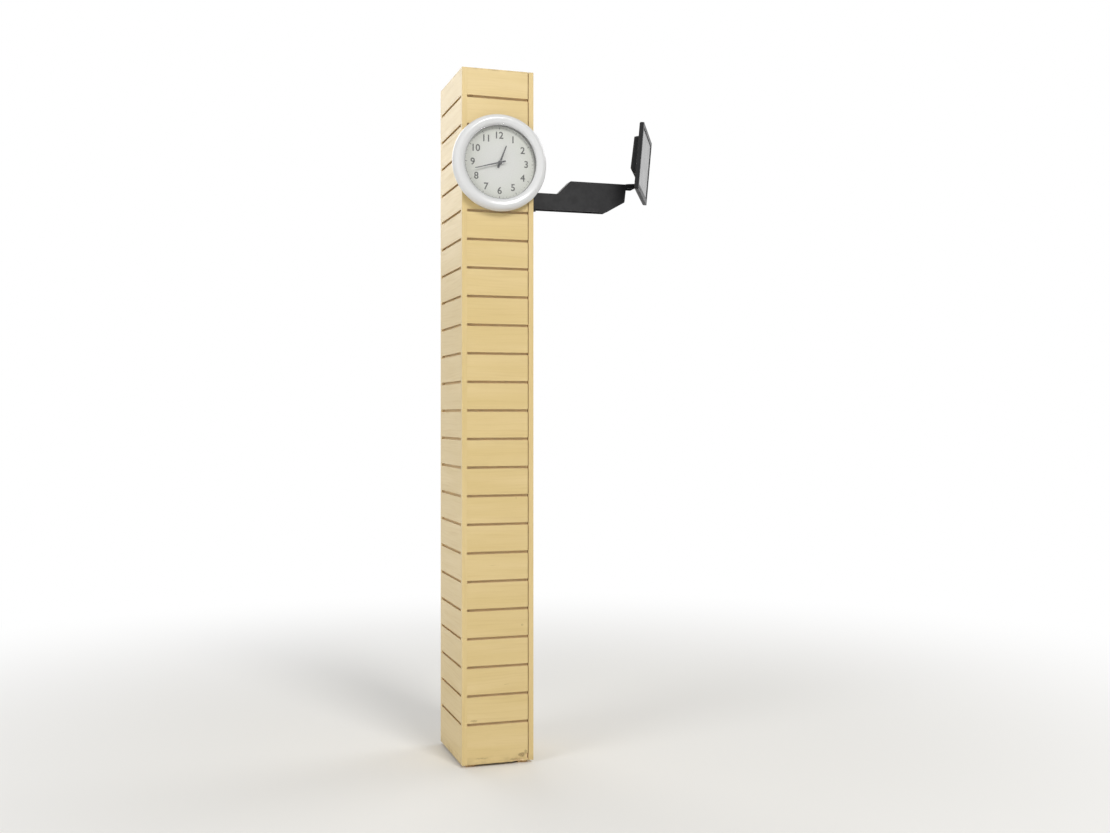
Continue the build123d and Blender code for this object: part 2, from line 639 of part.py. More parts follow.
def bracket_parts():
    return {
        "bracket_wall_plate": wall_plate(),
        "bracket_screws": wall_screws(),
        "bracket_swing_pin": swing_pin(),
        "bracket_arm": bracket_arm(),
        "bracket_turntable": HEAD_PLACE * turntable(),
        "bracket_turn_nut": HEAD_PLACE * turn_nut(),
        "monitor_tilt_pin": HINGE_PLACE * tilt_pin(),
        "monitor_rear_cover": MONITOR_PLACE * rear_cover(),
        "monitor_housing": MONITOR_PLACE * housing(),
        "monitor_bezel": MONITOR_PLACE * bezel(),
        "monitor_screen": MONITOR_PLACE * screen(),
    }


os.makedirs("parts", exist_ok=True)
all_parts = {**column_parts(), **clock_parts(), **bracket_parts()}
for name, shape in all_parts.items():
    export_step(shape, f"parts/{name}.step")
hinge = HINGE_PLACE.position / 1000
print("joint values in metres: pivot", PIVOT_X / 1000, "head", HEAD_X / 1000, "hinge", hinge)
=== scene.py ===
"""The looks of a shop column clad in slotted display boards, with a wall clock and a monitor.

Everything is in metres in the part's own frame: +Z up, the front faces -Y, the monitor is at +X,
and the origin is the middle of the column's foot, on the floor.
"""
import json
import math

import bmesh
import bpy
from mathutils import Matrix, Vector


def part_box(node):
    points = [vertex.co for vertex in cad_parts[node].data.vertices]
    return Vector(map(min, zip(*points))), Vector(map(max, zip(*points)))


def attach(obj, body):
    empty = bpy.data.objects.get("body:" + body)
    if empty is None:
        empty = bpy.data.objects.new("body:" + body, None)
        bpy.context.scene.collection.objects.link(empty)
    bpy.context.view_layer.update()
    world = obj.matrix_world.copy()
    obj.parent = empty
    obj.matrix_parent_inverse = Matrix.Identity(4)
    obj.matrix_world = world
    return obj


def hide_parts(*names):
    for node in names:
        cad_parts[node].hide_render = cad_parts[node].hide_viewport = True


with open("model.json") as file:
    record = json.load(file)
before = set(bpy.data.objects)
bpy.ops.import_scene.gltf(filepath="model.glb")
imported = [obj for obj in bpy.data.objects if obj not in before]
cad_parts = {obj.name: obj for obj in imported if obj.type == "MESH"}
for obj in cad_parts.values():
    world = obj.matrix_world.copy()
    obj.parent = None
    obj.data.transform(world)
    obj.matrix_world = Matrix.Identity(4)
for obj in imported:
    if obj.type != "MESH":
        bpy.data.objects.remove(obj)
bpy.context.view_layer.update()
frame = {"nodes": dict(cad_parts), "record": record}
nodes = frame["nodes"]

MM = 0.001

# Places read from the frame; the clock's case laps over the dial's rim
DIAL_LAP = 3 * MM
board_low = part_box("slatwall_front")[0]
FRONT_Y = -board_low.y
BOARD_FOOT = board_low.z
SIDE_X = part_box("slatwall_right")[1].x
dial_low, dial_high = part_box("clock_dial")
dial_middle = (dial_low + dial_high) / 2
DIAL_RADIUS = (dial_high.x - dial_low.x) / 2
RECESS_RADIUS = DIAL_RADIUS - DIAL_LAP
CLOCK_CENTRE = Vector((dial_middle.x, dial_low.y, dial_middle.z))

# Grooves of the boards; the first one is measured from a board's foot
GROOVE_PITCH = 0.100
FIRST_GROOVE = 0.140
GROOVE_MOUTH = 9 * MM


def srgb(red, green, blue):
    """A linear colour from eight-bit screen values."""
    def linear(value):
        share = value / 255
        return share / 12.92 if share <= 0.04045 else ((share + 0.055) / 1.055) ** 2.4
    return (linear(red), linear(green), linear(blue), 1.0)


# Material tools

WHITE = (1.0, 1.0, 1.0, 1.0)

# A colour mix node's sockets for the share and the two colours, and its output
MIX_SOCKETS = (0, 6, 7)
MIX_RESULT = 2


class Look:
    """A node material round one Principled shader, with short calls for the nodes it uses."""

    def __init__(self, name, colour, roughness, **constants):
        self.material = bpy.data.materials.new(name)
        self.material.use_nodes = True
        self.tree = self.material.node_tree
        self.shader = self.tree.nodes["Principled BSDF"]
        self.shader.inputs["Base Color"].default_value = colour
        self.shader.inputs["Roughness"].default_value = roughness
        for socket, value in constants.items():
            self.shader.inputs[socket.replace("_", " ")].default_value = value

    def put(self, socket, value):
        """Links an output to a socket, or sets the socket's own value."""
        if isinstance(value, bpy.types.NodeSocket):
            self.tree.links.new(value, socket)
        else:
            socket.default_value = value

    def node(self, kind, values, **settings):
        made = self.tree.nodes.new("ShaderNode" + kind)
        for name, value in settings.items():
            setattr(made, name, value)
        for key, value in values.items():
            self.put(made.inputs[key], value)
        return made

    def place(self):
        """Position in the part's frame, which stays with the piece when it moves."""
        return self.node("TexCoord", {}).outputs["Object"]

    def facing_up(self):
        """How far the surface looks upwards, from -1 to 1."""
        return self.axes(self.node("NewGeometry", {}).outputs["Normal"])[2]

    def axes(self, vector):
        parts = self.node("SeparateXYZ", {0: vector})
        return parts.outputs["X"], parts.outputs["Y"], parts.outputs["Z"]

    def vector(self, x, y, z):
        return self.node("CombineXYZ", {"X": x, "Y": y, "Z": z}).outputs[0]

    def vector_math(self, operation, a, b, output="Vector"):
        return self.node("VectorMath", {0: a, 1: b}, operation=operation).outputs[output]

    def math(self, operation, a, b=0.0, c=0.0):
        return self.node("Math", {0: a, 1: b, 2: c}, operation=operation).outputs[0]

    def plus(self, a, b):
        return self.math("ADD", a, b)

    def minus(self, a, b):
        return self.math("SUBTRACT", a, b)

    def times(self, a, b):
        return self.math("MULTIPLY", a, b)

    def times_plus(self, a, b, c):
        """a times b, plus c."""
        return self.math("MULTIPLY_ADD", a, b, c)

    def noise(self, vector, scale=1.0, detail=2.0, roughness=0.5):
        values = {"Vector": vector, "Scale": scale, "Detail": detail, "Roughness": roughness}
        return self.node("TexNoise", values).outputs["Fac"]

    def step(self, value, low, high, start=0.0, end=1.0):
        """A smooth change from start to end as value goes from low to high."""
        values = {"Value": value, "From Min": low, "From Max": high, "To Min": start, "To Max": end}
        return self.node("MapRange", values, interpolation_type="SMOOTHSTEP").outputs[0]

    def mix(self, share, a, b):
        """Colour a, with a share of colour b in it."""
        values = dict(zip(MIX_SOCKETS, (share, a, b)))
        return self.node("Mix", values, data_type="RGBA").outputs[MIX_RESULT]

    def colour(self, value):
        self.put(self.shader.inputs["Base Color"], value)

    def roughness(self, value):
        self.put(self.shader.inputs["Roughness"], value)

    def bump(self, height, distance, strength):
        values = {"Height": height, "Distance": distance, "Strength": strength}
        self.put(self.shader.inputs["Normal"], self.node("Bump", values).outputs[0])


# Materials of the column

FOIL_LIGHT = srgb(220, 197, 144)
FOIL_WARM = srgb(212, 188, 131)
FOIL_GRAIN = srgb(188, 160, 106)
FOIL_PORE = srgb(172, 142, 90)
GRAIN_SHARE = 0.20
PORE_SHARE = 0.14
GRAIN_DRIFT = 40 * MM

# Noise scales of the drift, along and across the grain
DRIFT_SCALE = (1.8, 5.0)

# Noise scales along and across, and detail, of the broad streaks, the grain and the pores
STREAK_SCALES = ((1.4, 14.0, 2.0), (4.0, 150.0, 3.0), (30.0, 800.0, 1.0))

CORE_LIGHT = srgb(238, 214, 170)
CORE_DARK = srgb(218, 190, 144)

# How far behind the outer faces the bare core starts
FOIL_DEPTH = 0.4 * MM

# Dirt at the foot and along the lips of the grooves, in patches of this many to the metre
GRIME = srgb(150, 128, 88)
GRIME_PATCHES = 26.0
FOOT_GRIME_TOP = 45 * MM
FOOT_GRIME_SHARE = 0.34
LIP_GRIME_REACH = 2 * MM
LIP_GRIME_SHARE = 0.40

# Each mark's place across and up the front, its half width, half height and strength
MARKS = (
    (0.086, 0.032, 13 * MM, 8 * MM, 0.80),
    (0.101, 0.041, 6 * MM, 9 * MM, 0.55),
    (0.060, 0.018, 20 * MM, 4 * MM, 0.45),
    (-0.060, 0.030, 26 * MM, 3 * MM, 0.35),
    (0.088, 0.492, 5 * MM, 4 * MM, 0.40),
    (0.030, 0.285, 9 * MM, 1.5 * MM, 0.30),
    (-0.088, 0.163, 13 * MM, 4 * MM, 0.45),
    (-0.020, 0.705, 14 * MM, 1.2 * MM, 0.22),
    (0.066, 0.942, 3 * MM, 6 * MM, 0.22),
)
MARK = srgb(124, 102, 64)
MARK_RAGGED = 9 * MM

# Shifts in the noise, so that the marks' edges wander across and up on their own
MARK_SHIFT_ACROSS = 3.1
MARK_SHIFT_UP = 8.7


def marked(look, place, foil):
    """Adds the rubbed and knocked spots on the front, most of them low down."""
    x, y, z = look.axes(place)
    front = look.math("LESS_THAN", y, -FRONT_Y + FOIL_DEPTH)
    speckle = look.noise(place, scale=260.0, detail=3.0, roughness=0.7)
    solid = look.times(front, look.step(speckle, 0.36, 0.60, start=0.55, end=1.0))

    def ragged(value, shift):
        moved = look.vector_math("ADD", place, (shift, 0.0, -shift))
        wander = look.noise(moved, scale=75.0, detail=3.0, roughness=0.6)
        return look.times_plus(wander, MARK_RAGGED, value)

    x, z = ragged(x, MARK_SHIFT_ACROSS), ragged(z, MARK_SHIFT_UP)
    for across, up, half_width, half_height, strength in MARKS:
        dx = look.math("DIVIDE", look.minus(x, across + MARK_RAGGED / 2), half_width)
        dz = look.math("DIVIDE", look.minus(z, up + MARK_RAGGED / 2), half_height)
        gap = look.times_plus(dx, dx, look.times(dz, dz))
        share = look.times(look.step(gap, 0.3, 1.3, start=strength, end=0.0), solid)
        foil = look.mix(share, foil, MARK)
    return foil


def grain_streaks(look, run, rise, seed):
    """Noises for the broad streaks, grain and pores, which drift a little to the sides."""
    slow = look.vector(look.times(run, DRIFT_SCALE[0]), seed, look.times(rise, DRIFT_SCALE[1]))
    rise = look.times_plus(look.noise(slow), GRAIN_DRIFT, rise)

    def streaks(run_scale, rise_scale, detail):
        vector = look.vector(look.times(run, run_scale), seed, look.times(rise, rise_scale))
        return look.noise(vector, detail=detail, roughness=0.6)

    return [streaks(*scales) for scales in STREAK_SCALES]


def bare_core(look, x, y):
    """1 inside both outer faces by a hair: in grooves, at cut ends and at broken corners."""
    inside_x = look.math("LESS_THAN", look.math("ABSOLUTE", x), SIDE_X - FOIL_DEPTH)
    inside_y = look.math("LESS_THAN", look.math("ABSOLUTE", y), FRONT_Y - FOIL_DEPTH)
    return look.times(inside_x, inside_y)


def grime(look, along, z, seed, grooved):
    """Floor dirt at the foot and, on a grooved board, hand marks along the grooves' lips."""
    patches = look.vector(look.times(along, GRIME_PATCHES), seed, look.times(z, GRIME_PATCHES))
    patchy = look.noise(patches, detail=4.0)
    low_down = look.step(z, BOARD_FOOT, FOOT_GRIME_TOP, start=FOOT_GRIME_SHARE, end=0.0)
    foot = look.times(low_down, look.step(patchy, 0.34, 0.66))
    if not grooved:
        return foot
    level = look.minus(z, BOARD_FOOT + FIRST_GROOVE - GROOVE_PITCH / 2)
    level = look.minus(look.math("FLOORED_MODULO", level, GROOVE_PITCH), GROOVE_PITCH / 2)
    from_mouth = look.minus(look.math("ABSOLUTE", level), GROOVE_MOUTH / 2)
    lip = look.step(from_mouth, 0.0, LIP_GRIME_REACH, start=LIP_GRIME_SHARE, end=0.0)
    lip = look.times(lip, look.step(patchy, 0.35, 0.7))
    grooves_begun = look.math("GREATER_THAN", z, GROOVE_PITCH)
    return look.math("MAXIMUM", foot, look.times(lip, grooves_begun))


def maple_foil(name, seed, upright=False):
    """Printed maple foil on the two outer faces, bare fibreboard in grooves and at cut edges.

    The grain of a board runs across it, and the grain of a corner post runs up it."""
    look = Look(name, FOIL_LIGHT, roughness=0.4, Specular_IOR_Level=0.4)
    place = look.place()
    x, y, z = look.axes(place)
    along = look.plus(x, y)
    run, rise = (z, along) if upright else (along, z)
    broad, grain, pores = grain_streaks(look, run, rise, seed)
    foil = look.mix(look.step(broad, 0.25, 0.75), FOIL_LIGHT, FOIL_WARM)
    foil = look.mix(look.times(look.step(grain, 0.45, 0.72), GRAIN_SHARE), foil, FOIL_GRAIN)
    foil = look.mix(look.times(look.step(pores, 0.60, 0.78), PORE_SHARE), foil, FOIL_PORE)
    dirt = grime(look, along, z, seed, grooved=not upright)
    foil = look.mix(dirt, foil, GRIME)
    if not upright:
        foil = marked(look, place, foil)

    bare = bare_core(look, x, y)
    fibres = look.noise(place, scale=700.0, detail=4.0, roughness=0.7)
    look.colour(look.mix(bare, foil, look.mix(fibres, CORE_LIGHT, CORE_DARK)))
    dull = look.times_plus(dirt, 0.3, look.step(grain, 0.4, 0.75, start=0.34, end=0.42))
    look.roughness(look.times_plus(bare, 0.4, dull))
    relief = look.times_plus(pores, -0.12, look.times(grain, -0.10))
    look.bump(look.times_plus(fibres, bare, relief), distance=0.5 * MM, strength=0.5)
    return look.material


# Growth rings of the sawn timber, round a point that every batten was cut beside
PITH = (0.035, 0.060, 0.0)
RING_GAP = 4.5 * MM
RING_DRIFT = 16 * MM
SOFTWOOD = srgb(214, 178, 124)
EARLY_WOOD = srgb(222, 190, 140)
LATE_WOOD = srgb(184, 140, 88)
WOOD_FIBRE = srgb(160, 118, 72)
LATE_WOOD_SHARE = 0.75
WOOD_FIBRE_SHARE = 0.3


def softwood(name, run):
    """Rough sawn softwood; its grain runs along the axis that has the small share in run."""
    look = Look(name, SOFTWOOD, roughness=0.75)
    stretched = look.vector_math("MULTIPLY", look.place(), run)
    fine = look.noise(stretched, scale=420.0, detail=2.0, roughness=0.6)
    from_pith = look.vector_math("DISTANCE", stretched, PITH, "Value")
    wander = look.noise(stretched, scale=14.0, detail=3.0)
    rings = look.times_plus(wander, RING_DRIFT, from_pith)
    rings = look.math("DIVIDE", look.math("FLOORED_MODULO", rings, RING_GAP), RING_GAP)
    late = look.times(look.step(rings, 0.2, 0.8), look.step(rings, 0.88, 1.0, start=1.0, end=0.0))
    wood = look.mix(look.times(late, LATE_WOOD_SHARE), EARLY_WOOD, LATE_WOOD)
    look.colour(look.mix(look.times(fine, WOOD_FIBRE_SHARE), wood, WOOD_FIBRE))
    look.bump(fine, distance=0.6 * MM, strength=0.5)
    return look.material


PRIMER = srgb(112, 66, 54)
PRIMER_FRESH = srgb(118, 68, 56)
PRIMER_DULL = srgb(92, 58, 48)
RUST = srgb(142, 84, 44)


def primer():
    """Red-brown primer on rolled steel, dull in places and with a little rust."""
    look = Look("primed_steel", PRIMER, roughness=0.6)
    place = look.place()
    cloud = look.noise(place, scale=14.0, detail=5.0, roughness=0.6)
    speck = look.noise(place, scale=260.0, detail=3.0, roughness=0.6)
    paint = look.mix(look.step(cloud, 0.35, 0.7), PRIMER_FRESH, PRIMER_DULL)
    rusty = look.times(look.step(speck, 0.62, 0.72), look.step(cloud, 0.5, 0.65))
    look.colour(look.mix(rusty, paint, RUST))
    look.roughness(look.step(cloud, 0.3, 0.7, start=0.5, end=0.75))
    look.bump(speck, distance=0.2 * MM, strength=0.5)
    return look.material


# Materials of the clock

CASE_WHITE = srgb(216, 217, 218)
CASE_DUST = srgb(198, 197, 190)
# A darker, warmer tone on the case's back, next to the board
CASE_BACK_DARKER = srgb(200, 198, 188)
# Painted shade: dark grey on the recess wall round the dial, for the shade that falls inside the
# bezel
CASE_RECESS_SHADE = srgb(84, 84, 82)
CASE_DUST_SHARE = 0.12
CASE_BACK_DARKER_SHARE = 0.35
CASE_BACK_DARKER_DEPTH = 20 * MM
RECESS_EDGE = (RECESS_RADIUS + 0.6 * MM, RECESS_RADIUS + 1.0 * MM)
DIAL = srgb(210, 211, 207)
DIAL_LIGHT = srgb(206, 207, 204)
DIAL_TOOTH = srgb(195, 196, 191)
# The dial is darker and more yellow-green towards its rim
DIAL_RIM_DARKER = srgb(196, 199, 187)
DIAL_TOOTH_SHARE = 0.35
DIAL_RIM_DARKER_FROM = 40 * MM
DIAL_RIM_DARKER_SHARE = 0.5


def dial_distance(look, place):
    """Distance from the clock's axis."""
    x, _, z = look.axes(place)
    x, z = look.minus(x, CLOCK_CENTRE.x), look.minus(z, CLOCK_CENTRE.z)
    return look.math("SQRT", look.plus(look.times(x, x), look.times(z, z)))


def white_plastic():
    """Glossy white moulded plastic, darker and warmer on its back next to the board, with painted
    shade in dark grey on the recess wall round the dial.
    """
    look = Look("clock_plastic", CASE_WHITE, roughness=0.22, Coat_Weight=0.3, Coat_Roughness=0.08)
    place = look.place()
    _, y, _ = look.axes(place)
    # Darker and warmer towards the back, next to the board
    darker_from = -FRONT_Y - CASE_BACK_DARKER_DEPTH
    back = look.step(y, darker_from, -FRONT_Y, start=0.0, end=CASE_BACK_DARKER_SHARE)
    dust = look.noise(place, scale=35.0, detail=4.0, roughness=0.6)
    tone = look.mix(look.times(dust, CASE_DUST_SHARE), CASE_WHITE, CASE_DUST)
    tone = look.mix(back, tone, CASE_BACK_DARKER)
    # Painted shade: the recess wall round the dial is coloured dark grey
    wall = look.step(dial_distance(look, place), *RECESS_EDGE, start=1.0, end=0.0)
    look.colour(look.mix(wall, tone, CASE_RECESS_SHADE))
    look.roughness(look.step(dust, 0.3, 0.8, start=0.2, end=0.25))
    look.bump(look.noise(place, scale=55.0, detail=1.0), distance=0.25 * MM, strength=0.06)
    return look.material


def dial_card():
    """Matt off-white card with fine paper tooth, a little darker and more yellow-green towards its
    rim.
    """
    look = Look("clock_dial", DIAL, roughness=0.8)
    place = look.place()
    tooth = look.noise(place, scale=900.0)
    card = look.mix(look.times(tooth, DIAL_TOOTH_SHARE), DIAL_LIGHT, DIAL_TOOTH)
    from_axis = dial_distance(look, place)
    # Darker and more yellow-green towards the rim
    rim = look.step(from_axis, DIAL_RIM_DARKER_FROM, DIAL_RADIUS, start=0.0, end=DIAL_RIM_DARKER_SHARE)
    look.colour(look.mix(rim, card, DIAL_RIM_DARKER))
    look.bump(tooth, distance=0.1 * MM, strength=0.3)
    return look.material


def clear_lens():
    """A thin flat lens that lets lamps through to the dial."""
    look = Look("clock_glass", WHITE, roughness=0.02, IOR=1.5, Transmission_Weight=1.0)
    clear = look.node("BsdfTransparent", {})
    path = look.node("LightPath", {})
    last = look.shader.outputs[0]
    for ray in ("Is Diffuse Ray", "Is Shadow Ray"):
        values = {0: path.outputs[ray], 1: last, 2: clear.outputs[0]}
        last = look.node("MixShader", values).outputs[0]
    look.put(look.tree.nodes["Material Output"].inputs["Surface"], last)
    return look.material


# Plain finishes, and the materials of the bracket and the monitor

# Share of a plain colour that its darker clouds keep
DARKER = 0.78


def plain(name, colour, roughness, grain=400.0, depth=0.1 * MM, uneven=0.12, metal=0.0):
    """A finish with fine grain, cloudy gloss and a small drift of colour."""
    look = Look(name, colour, roughness=roughness, Metallic=metal)
    place = look.place()
    cloud = look.noise(place, scale=22.0, detail=4.0, roughness=0.6)
    fine = look.noise(place, scale=grain, detail=2.0, roughness=0.6)
    darker = tuple(channel * DARKER for channel in colour[:3]) + (1.0,)
    look.colour(look.mix(look.step(cloud, 0.3, 0.75), colour, darker))
    glossy, dull = roughness - uneven / 2, roughness + uneven / 2
    look.roughness(look.step(cloud, 0.3, 0.75, start=glossy, end=dull))
    look.bump(fine, distance=depth, strength=0.5)
    return look.material


COAT = srgb(30, 30, 32)
COAT_LIGHT = srgb(33, 33, 35)
COAT_DARK = srgb(25, 25, 27)
COAT_DUST = srgb(92, 89, 84)


def powder_coat():
    """Black powder coat with an orange-peel skin, and a little dust on top."""
    look = Look("bracket_steel", COAT, roughness=0.5, Specular_IOR_Level=0.3)
    place = look.place()
    peel = look.noise(place, scale=650.0)
    cloud = look.noise(place, scale=30.0, detail=5.0, roughness=0.65)
    patchy = look.step(cloud, 0.3, 0.7, start=0.15, end=0.55)
    dust = look.times(look.step(look.facing_up(), 0.3, 1.0), patchy)
    paint = look.mix(look.step(cloud, 0.35, 0.7), COAT_LIGHT, COAT_DARK)
    look.colour(look.mix(dust, paint, COAT_DUST))
    look.roughness(look.times_plus(dust, 0.3, look.step(cloud, 0.3, 0.7, start=0.44, end=0.56)))
    look.bump(peel, distance=0.25 * MM, strength=0.6)
    return look.material


MOULDING = srgb(22, 22, 24)
MOULDING_DARK = srgb(19, 19, 21)
MOULDING_LIGHT = srgb(29, 29, 31)
MOULDING_DUST = srgb(92, 90, 86)


def textured_black():
    """Black moulded plastic with a fine spark texture and a little dust on top."""
    look = Look("monitor_plastic", MOULDING, roughness=0.55, Specular_IOR_Level=0.3)
    place = look.place()
    spark = look.noise(place, scale=1500.0, detail=2.0, roughness=0.7)
    cloud = look.noise(place, scale=40.0, detail=4.0, roughness=0.6)
    patchy = look.step(cloud, 0.3, 0.7, start=0.1, end=0.4)
    dust = look.times(look.step(look.facing_up(), 0.4, 1.0), patchy)
    body = look.mix(look.step(spark, 0.3, 0.7), MOULDING_DARK, MOULDING_LIGHT)
    look.colour(look.mix(dust, body, MOULDING_DUST))
    look.roughness(look.step(cloud, 0.3, 0.75, start=0.48, end=0.62))
    look.bump(spark, distance=0.15 * MM, strength=0.6)
    return look.material


SCREEN = srgb(14, 15, 18)
SCREEN_CLEAN = srgb(13, 14, 17)
SCREEN_WIPED = srgb(22, 23, 27)


def dark_screen():
    """A switched-off screen: near black, glossy, with faint wipe marks."""
    look = Look("monitor_screen", SCREEN, roughness=0.2)
    wipe = look.noise(look.place(), scale=18.0, detail=5.0, roughness=0.7)
    look.colour(look.mix(look.step(wipe, 0.4, 0.8), SCREEN_CLEAN, SCREEN_WIPED))
    look.roughness(look.step(wipe, 0.35, 0.75, start=0.16, end=0.22))
    return look.material


HAND_BLACK = srgb(52, 52, 54)
MOVEMENT_BLACK = srgb(34, 34, 34)
ZINC_GREY = srgb(176, 176, 174)
PRINT_GREY = srgb(74, 74, 72)

materials = {
    "slatwall": maple_foil("slatwall", 0.0),
    "corner_trim": maple_foil("corner_trim", 7.3, upright=True),
    "batten": softwood("timber_upright", (1.0, 1.0, 0.03)),
    "nogging_x": softwood("timber_across", (0.03, 1.0, 1.0)),
    "nogging_y": softwood("timber_through", (1.0, 0.03, 1.0)),
    "primed_steel": primer(),
    "clock_plastic": white_plastic(),
    "clock_dial": dial_card(),
    "clock_glass": clear_lens(),
    "clock_hands": plain("clock_hands", HAND_BLACK, roughness=0.35, grain=900.0, depth=0.05 * MM),
    "movement": plain("movement", MOVEMENT_BLACK, roughness=0.5),
    "zinc": plain("zinc", ZINC_GREY, roughness=0.3, grain=500.0, depth=0.05 * MM, uneven=0.16,
                  metal=1.0),
    "bracket_steel": powder_coat(),
    "monitor_plastic": textured_black(),
    "monitor_screen": dark_screen(),
    "dial_print": plain("dial_print", PRINT_GREY, roughness=0.7, grain=900.0, depth=0.02 * MM),
}


# The frame's own pieces

WELD_GAP = 0.01 * MM
FLAT_ANGLE = 0.1
BEVEL_SEGMENTS = 2
BEVEL_ANGLE = 30.0
NORMAL_WEIGHT = 90

# Width of each slot's rounded edges in millimetres
BEVELS = {"slatwall": 0.5, "corner_trim": 0.5, "timber": 1.0, "primed_steel": 0.8,
          "clock_plastic": 0.0, "clock_dial": 0.0, "clock_glass": 0.3, "clock_hands": 0.15,
          "movement": 0.4, "zinc": 0.4, "bracket_steel": 0.5, "monitor_plastic": 0.5,
          "monitor_screen": 0.2}


def finish_node(name, material, bevel):
    """Gives a CAD node its material, clean shading and small rounded edges."""
    piece = nodes[name]
    piece.data.materials.clear()
    piece.data.materials.append(material)
    weld = piece.modifiers.new("weld", "WELD")
    weld.merge_threshold = WELD_GAP
    if bevel:
        flat = piece.modifiers.new("flat", "DECIMATE")
        flat.decimate_type = "DISSOLVE"
        flat.angle_limit = math.radians(FLAT_ANGLE)
        edge = piece.modifiers.new("edge", "BEVEL")
        edge.width = bevel
        edge.segments = BEVEL_SEGMENTS
        edge.limit_method = "ANGLE"
        edge.angle_limit = math.radians(BEVEL_ANGLE)
        even = piece.modifiers.new("even", "WEIGHTED_NORMAL")
        even.mode = "FACE_AREA"
        even.weight = NORMAL_WEIGHT


def timber_kind(name):
    """The softwood whose grain runs along a timber node's pieces."""
    if name.startswith("batten"):
        return "batten"
    return "nogging_y" if name in ("noggings_left", "noggings_right") else "nogging_x"


for part in frame["record"]["subparts"]:
    name, slot = part["node"], part["material_slot"]
    kind = timber_kind(name) if slot == "timber" else slot
    finish_node(name, materials[kind], BEVELS[slot] * MM)


# Mesh tools

def add_piece(name, mesh, material, body):
    """Links a mesh as a piece of the object that rides on a body."""
    piece = bpy.data.objects.new(name, mesh)
    bpy.context.scene.collection.objects.link(piece)
    mesh.materials.clear()
    mesh.materials.append(material)
    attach(piece, body)
    return piece


def mesh_from(name, build):
    """A mesh filled by a function that works on a bmesh."""
    mesh = bpy.data.meshes.new(name)
    shape = bmesh.new()
    build(shape)
    bmesh.ops.recalc_face_normals(shape, faces=shape.faces)
    shape.to_mesh(mesh)
    shape.free()
    return mesh


# Printing on the dial, seen from the front: across is +X, up is +Z and out is -Y

NUMERAL_RING = 97 * MM
NUMERAL_HEIGHT = 25 * MM
TICK_OUTER = 124 * MM
MINUTE_TICK = (4 * MM, 0.8 * MM)
HOUR_TICK = (7 * MM, 1.8 * MM)
PRINT_THICKNESS = 0.1 * MM
FONT_STEPS = 6

# Cleaning and thickening of the font's outline, as shares of its size
FONT_WELD = 0.004
FONT_BOLD = 0.019


def on_dial(across, up, out=0.0):
    """A place on the dial's face, or a little in front of it."""
    return CLOCK_CENTRE + Vector((across, -out, up))


def thickened(flat):
    """Welds the font's tiny notches and moves the outline of a flat mesh outwards."""
    shape = bmesh.new()
    shape.from_mesh(flat)
    bmesh.ops.remove_doubles(shape, verts=shape.verts, dist=FONT_WELD)
    moves = []
    for vertex in shape.verts:
        outward = []
        for edge in vertex.link_edges:
            if edge.is_boundary:
                corner = edge.link_loops[0]
                along = (corner.link_loop_next.vert.co - corner.vert.co).normalized()
                outward.append(along.cross(Vector((0, 0, 1))))
        first, second = outward
        moves.append((vertex, (first + second) / (1 + first.dot(second)) * FONT_BOLD))
    for vertex, move in moves:
        vertex.co += move
    shape.to_mesh(flat)
    shape.free()
    return flat


def text_outline(words):
    """A text as a flat mesh with cleaned and thickened strokes."""
    curve = bpy.data.curves.new("numeral", "FONT")
    curve.body = words
    curve.size = 1.0
    curve.resolution_u = FONT_STEPS
    holder = bpy.data.objects.new("numeral", curve)
    bpy.context.scene.collection.objects.link(holder)
    bpy.context.view_layer.update()
    evaluated = holder.evaluated_get(bpy.context.evaluated_depsgraph_get())
    mesh = bpy.data.meshes.new_from_object(evaluated)
    bpy.data.objects.remove(holder)
    return thickened(mesh)


def raise_face(shape, flat, middle, scale, across, up):
    """Stands a flat text mesh on the dial as a thin solid."""
    made = []
    for vertex in flat.vertices:
        point = (vertex.co.xy - middle) * scale
        made.append(shape.verts.new(on_dial(point.x + across, point.y + up)))
    faces = [shape.faces.new([made[i] for i in polygon.vertices]) for polygon in flat.polygons]
    pushed = bmesh.ops.extrude_face_region(shape, geom=faces)
    top = [item for item in pushed["geom"] if isinstance(item, bmesh.types.BMVert)]
    bmesh.ops.translate(shape, verts=top, vec=(0, -PRINT_THICKNESS, 0))


def numerals(shape):
    """The upright figures 1 to 12, each round its own middle on the numeral ring."""
    tall = [v.co.y for v in text_outline("8").vertices]
    scale = NUMERAL_HEIGHT / (max(tall) - min(tall))
    for hour in range(1, 13):
        flat = text_outline(str(hour))
        xs, ys = [v.co.x for v in flat.vertices], [v.co.y for v in flat.vertices]
        middle = Vector(((min(xs) + max(xs)) / 2, (min(ys) + max(ys)) / 2))
        angle = math.radians(30 * hour)
        across, up = NUMERAL_RING * math.sin(angle), NUMERAL_RING * math.cos(angle)
        raise_face(shape, flat, middle, scale, across, up)


def bar_on_dial(shape, angle, inner, outer, width):
    """A thin printed bar that points at the dial's middle."""
    turn = Matrix.Rotation(math.radians(-angle), 3, "Y")
    half = width / 2
    corners = []
    for out in (0.0, PRINT_THICKNESS):
        for across, up in ((-half, inner), (half, inner), (half, outer), (-half, outer)):
            spot = turn @ Vector((across, 0, up))
            corners.append(shape.verts.new(on_dial(spot.x, spot.z, out)))
    shape.faces.new(corners[4:])
    shape.faces.new(corners[:4])
    for i in range(4):
        j = (i + 1) % 4
        shape.faces.new((corners[i], corners[j], corners[4 + j], corners[4 + i]))


def ticks(shape):
    """Sixty minute ticks, of which every fifth is longer and wider."""
    for minute in range(60):
        length, width = HOUR_TICK if minute % 5 == 0 else MINUTE_TICK
        bar_on_dial(shape, 6 * minute, TICK_OUTER - length, TICK_OUTER, width)


